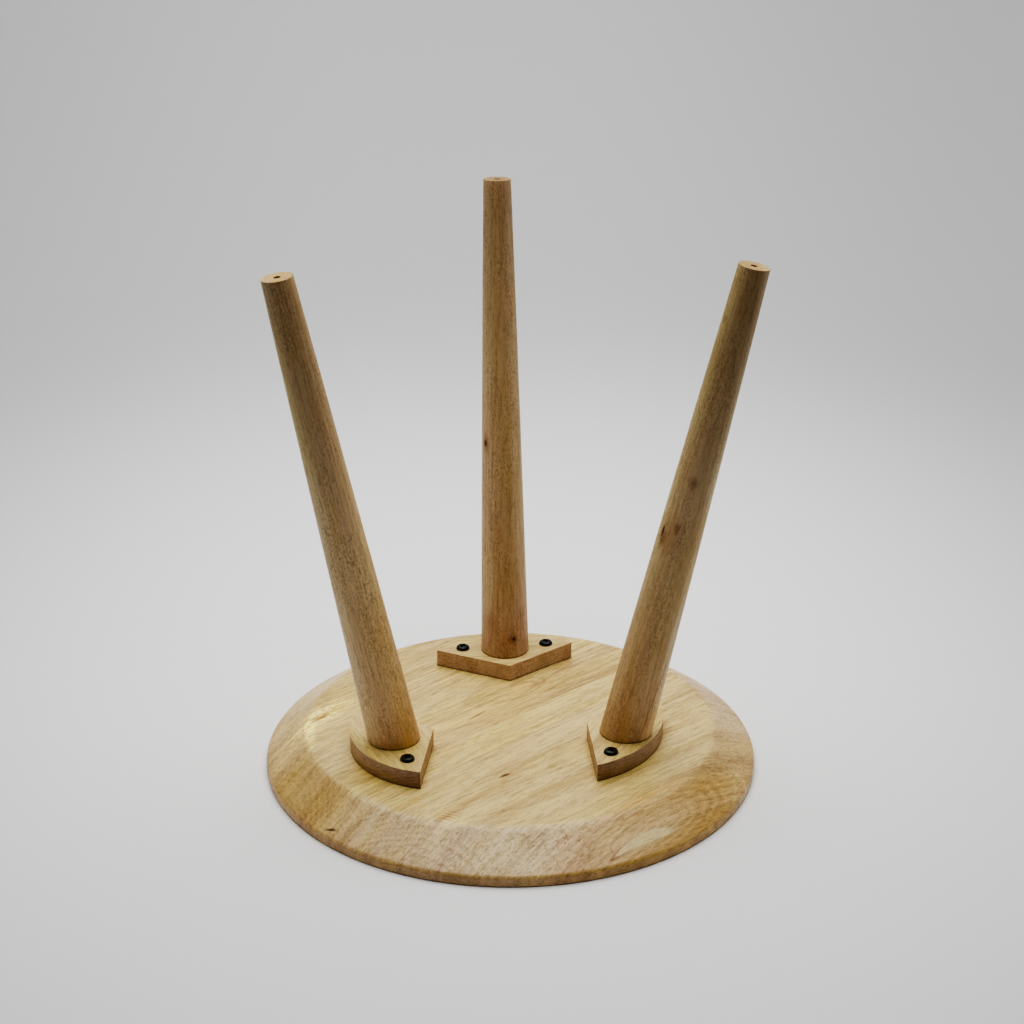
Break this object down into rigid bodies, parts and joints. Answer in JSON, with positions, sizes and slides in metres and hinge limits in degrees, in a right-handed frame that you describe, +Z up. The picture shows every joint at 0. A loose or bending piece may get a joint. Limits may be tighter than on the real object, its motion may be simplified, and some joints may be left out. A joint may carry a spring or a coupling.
{
  "type": "wooden milking stool",
  "caption": "Low round three-legged wooden stool with a sloped seat edge and tapered legs on screwed blocks, stored turned over on its seat.",
  "frame": {"origin": "middle of the seat's sitting face, which lies on the floor because the stool is stored turned over", "axes": "+Z up from the sitting face towards the feet, so the stool is turned over about X or Y for use; +Y from the middle towards the back leg; +X to the right leg's side"},
  "size_m": [0.35, 0.353, 0.3842],
  "materials": {
    "seat_wood": "light straw-coloured hardwood boards, edge-glued, with a thin satin clear finish",
    "block_wood": "the same light hardwood, sawn plate, thin satin clear finish",
    "leg_wood": "golden brown turned hardwood, thin satin clear finish",
    "black_screw": "black oxide, slightly glossy",
    "plain_screw": "bright zinc plate, hidden",
    "dowel_wood": "plain beech dowel, hidden"
  },
  "bodies": {
    "root": {"seat_board_1": "seat_wood", "seat_board_2": "seat_wood", "seat_board_3": "seat_wood", "seat_board_4": "seat_wood", "seat_board_5": "seat_wood", "block_back": "block_wood", "block_left": "block_wood", "block_right": "block_wood", "leg_back": "leg_wood", "leg_left": "leg_wood", "leg_right": "leg_wood", "block_screws_back": "black_screw", "block_screws_left": "black_screw", "block_screws_right": "black_screw", "leg_screw_back": "plain_screw", "leg_screw_left": "plain_screw", "leg_screw_right": "plain_screw", "dowel_back": "dowel_wood", "dowel_left": "dowel_wood", "dowel_right": "dowel_wood"}
  },
  "joints": []
}
